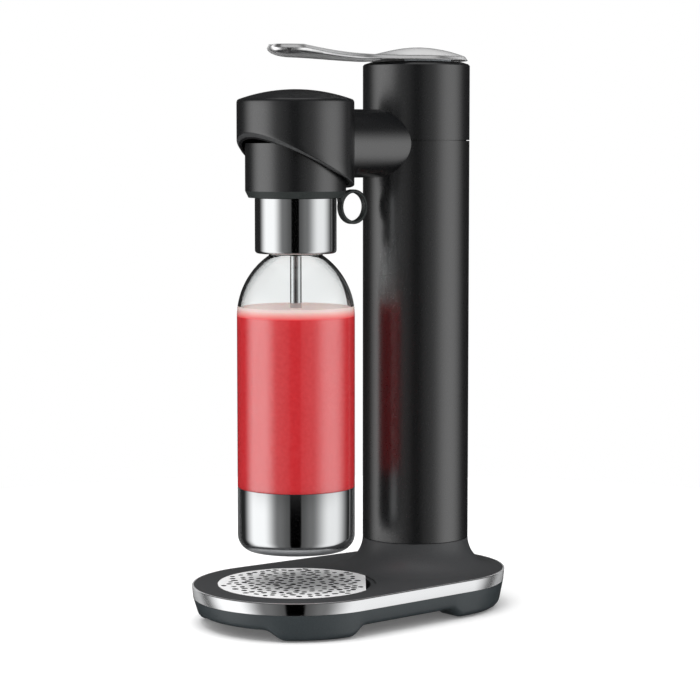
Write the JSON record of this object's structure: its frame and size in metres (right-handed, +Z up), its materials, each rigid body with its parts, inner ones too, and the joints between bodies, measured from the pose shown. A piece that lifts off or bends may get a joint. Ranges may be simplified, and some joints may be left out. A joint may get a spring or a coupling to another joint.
{
  "type": "sparkling water maker",
  "caption": "Freestanding sparkling water maker: black tower with a press lever on top, an arm and head that hold a bottle over a drip tray.",
  "frame": {"origin": "on the floor under the middle of the base", "axes": "+Z up, front and bottle towards -Y, tower towards +Y, X left to right"},
  "size_m": [0.1528, 0.2568, 0.4205],
  "materials": {
    "black_coat": "satin matte black coating",
    "deck_black": "moulded, fine satin",
    "skirt_grey": "moulded, satin",
    "dark_plastic": "moulded",
    "polished_steel": "mirror polished",
    "tray_steel": "perforated, lightly brushed",
    "plain_steel": "zinc plated",
    "cylinder_paint": "brushed",
    "brass": "turned",
    "seal_rubber": "matt",
    "foot_rubber": "matt",
    "clear_bottle": "clear",
    "red_drink": "cloudy fruit drink",
    "pink_foam": "foam",
    "copper": "drawn tube"
  },
  "bodies": {
    "stand": {"base_skirt": "skirt_grey", "chrome_band": "polished_steel", "base_deck": "deck_black", "base_plate": "dark_plastic", "base_screws": "plain_steel", "rubber_feet": "foot_rubber", "drip_tray": "dark_plastic", "tower_tube": "black_coat", "tower_head": "black_coat", "support_frame": "plain_steel", "valve_block": "plain_steel", "valve_seal": "seal_rubber", "return_spring": "plain_steel", "relief_valve": "brass", "gas_tube": "copper", "tower_screws": "plain_steel", "lever_pin": "plain_steel", "lever_bracket": "plain_steel", "arm": "black_coat", "arm_screws": "plain_steel", "head_shell": "black_coat", "head_core": "dark_plastic", "tilt_pins": "plain_steel"},
    "lever": {"lever": "polished_steel", "lever_hub": "plain_steel"},
    "plunger": {"push_rod": "plain_steel", "valve_pin": "plain_steel"},
    "carrier": {"tilt_carrier": "dark_plastic", "carrier_seal": "seal_rubber"},
    "cap": {"cap_body": "black_coat", "cap_rim": "dark_plastic", "cap_collar": "polished_steel", "cap_sleeve": "dark_plastic", "cap_seal": "seal_rubber", "gas_nozzle": "plain_steel", "infusion_tube": "polished_steel", "tube_tip": "plain_steel", "ring_pin": "plain_steel", "vent_spring": "plain_steel"},
    "bottle": {"bottle_shell": "clear_bottle", "bottle_cup": "polished_steel", "drink": "red_drink", "foam": "pink_foam"},
    "ring": {"pull_ring": "dark_plastic"},
    "vent": {"vent_stem": "plain_steel"},
    "grille": {"drip_grille": "tray_steel"},
    "cover": {"rear_cover": "black_coat"},
    "cylinder": {"gas_cylinder": "cylinder_paint", "cylinder_valve": "brass"}
  },
  "joints": [
    {"name": "lever_press", "type": "hinge", "parent": "stand", "child": "lever", "pos_m": [0, 0.086, 0.4069], "axis": [1, 0, 0], "range_deg": [0, 2.5], "stiffness_Nm_per_rad": 2, "springref_deg": -14.32},
    {"name": "rod_press", "type": "slide", "parent": "stand", "child": "plunger", "axis": [0, 0, -1], "range_m": [0, 0.0012], "deforming": ["return_spring"]},
    {"name": "bottle_tilt", "type": "hinge", "parent": "stand", "child": "carrier", "pos_m": [0, -0.052, 0.356], "axis": [-1, 0, 0], "range_deg": [0, 10]},
    {"name": "bottle_drop", "type": "slide", "parent": "carrier", "child": "cap", "axis": [0, 0, -1], "range_m": [0, 0.011]},
    {"name": "bottle_turn", "type": "hinge", "parent": "cap", "child": "bottle", "pos_m": [0, -0.052, 0.2], "axis": [0, 0, 1], "continuous": true},
    {"name": "ring_pull", "type": "hinge", "parent": "cap", "child": "ring", "pos_m": [0, -0.014, 0.3123], "axis": [-1, 0, 0], "range_deg": [0, 25], "stiffness_Nm_per_rad": 0.03, "springref_deg": -17.19},
    {"name": "vent_pull", "type": "slide", "parent": "cap", "child": "vent", "axis": [0, 1, 0], "range_m": [0, 0.0012], "deforming": ["vent_spring"]},
    {"name": "grille_lift", "type": "slide", "parent": "stand", "child": "grille", "axis": [0, 0, 1], "range_m": [0, 0.01]},
    {"name": "cover_pull", "type": "slide", "parent": "stand", "child": "cover", "axis": [0, 1, 0], "range_m": [0, 0.06]},
    {"name": "cylinder_turn", "type": "hinge", "parent": "stand", "child": "cylinder", "pos_m": [0, 0.062, 0.2], "axis": [0, 0, 1], "continuous": true}
  ],
  "couplings": [
    {"joint": "rod_press", "follows": "lever_press", "m_per_rad": 0.024},
    {"joint": "vent_pull", "follows": "ring_pull", "m_per_rad": 0.0025}
  ]
}
